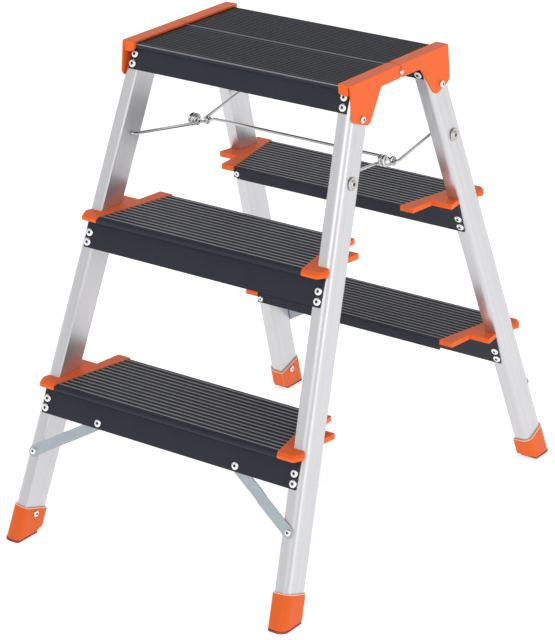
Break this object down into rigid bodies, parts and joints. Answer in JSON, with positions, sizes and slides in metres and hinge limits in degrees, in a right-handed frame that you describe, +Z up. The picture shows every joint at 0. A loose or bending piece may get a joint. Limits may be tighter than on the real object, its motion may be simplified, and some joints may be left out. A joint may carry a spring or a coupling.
{
  "type": "step ladder",
  "caption": "Double-sided folding step ladder with splayed D-section stiles, ribbed treads, a split platform hinged at its middle, orange end pieces and a wire spreader.",
  "frame": {"origin": "centre of the footprint at ground level", "axes": "+Z up, X along the treads, the front frame towards -Y and the rear frame towards +Y"},
  "size_m": [0.4838, 0.6948, 0.68],
  "materials": {
    "aluminium": "satin anodised aluminium, fine lengthwise drawing lines",
    "anthracite": "aluminium with a satin anthracite coating",
    "orange_plastic": "moulded plastic with a soft sheen",
    "zinc": "bluish zinc plating",
    "bright_steel": "bright plated steel",
    "sole_rubber": "matt dark red rubber"
  },
  "bodies": {
    "front_frame": {"front_left_bracket": "orange_plastic", "front_left_bracket_rivet": "bright_steel", "front_left_foot": "orange_plastic", "front_left_foot_screw": "bright_steel", "front_left_lower_cap": "orange_plastic", "front_left_middle_cap": "orange_plastic", "front_left_pivot_screw": "bright_steel", "front_left_sole": "sole_rubber", "front_left_stile": "aluminium", "front_left_strap": "zinc", "front_left_strap_stile_rivet": "bright_steel", "front_left_strap_tread_rivet": "bright_steel", "front_lower_tread": "anthracite", "front_middle_tread": "anthracite", "front_platform": "anthracite", "front_right_bracket": "orange_plastic", "front_right_bracket_rivet": "bright_steel", "front_right_foot": "orange_plastic", "front_right_foot_screw": "bright_steel", "front_right_lower_cap": "orange_plastic", "front_right_middle_cap": "orange_plastic", "front_right_pivot_screw": "bright_steel", "front_right_sole": "sole_rubber", "front_right_stile": "aluminium", "front_right_strap": "zinc", "front_right_strap_stile_rivet": "bright_steel", "front_right_strap_tread_rivet": "bright_steel", "left_hinge_pin": "bright_steel", "right_hinge_pin": "bright_steel"},
    "link_rods": {"left_link_rod": "bright_steel", "right_link_rod": "bright_steel"},
    "rear_frame": {"rear_left_bracket": "orange_plastic", "rear_left_bracket_rivet": "bright_steel", "rear_left_foot": "orange_plastic", "rear_left_foot_screw": "bright_steel", "rear_left_lower_cap": "orange_plastic", "rear_left_middle_cap": "orange_plastic", "rear_left_pivot_screw": "bright_steel", "rear_left_sole": "sole_rubber", "rear_left_stile": "aluminium", "rear_left_strap": "zinc", "rear_left_strap_stile_rivet": "bright_steel", "rear_left_strap_tread_rivet": "bright_steel", "rear_lower_tread": "anthracite", "rear_middle_tread": "anthracite", "rear_platform": "anthracite", "rear_right_bracket": "orange_plastic", "rear_right_bracket_rivet": "bright_steel", "rear_right_foot": "orange_plastic", "rear_right_foot_screw": "bright_steel", "rear_right_lower_cap": "orange_plastic", "rear_right_middle_cap": "orange_plastic", "rear_right_pivot_screw": "bright_steel", "rear_right_sole": "sole_rubber", "rear_right_stile": "aluminium", "rear_right_strap": "zinc", "rear_right_strap_stile_rivet": "bright_steel", "rear_right_strap_tread_rivet": "bright_steel"},
    "spreader_bail": {"spreader_bail": "bright_steel"}
  },
  "joints": [
    {"name": "fold", "type": "hinge", "parent": "front_frame", "child": "rear_frame", "pos_m": [0, 0, 0.6696], "axis": [-1, 0, 0], "range_deg": [0, 32]},
    {"name": "bail_lift", "type": "hinge", "parent": "rear_frame", "child": "spreader_bail", "pos_m": [0, 0.12458, 0.551], "axis": [-1, 0, 0], "range_deg": [0, 59]},
    {"name": "link_turn", "type": "hinge", "parent": "spreader_bail", "child": "link_rods", "pos_m": [0, 0.031, 0.532], "axis": [1, 0, 0], "range_deg": [0, 115]}
  ],
  "couplings": [
    {"joint": "bail_lift", "follows": "fold", "ratio": 1.8409},
    {"joint": "link_turn", "follows": "fold", "ratio": 3.591}
  ]
}
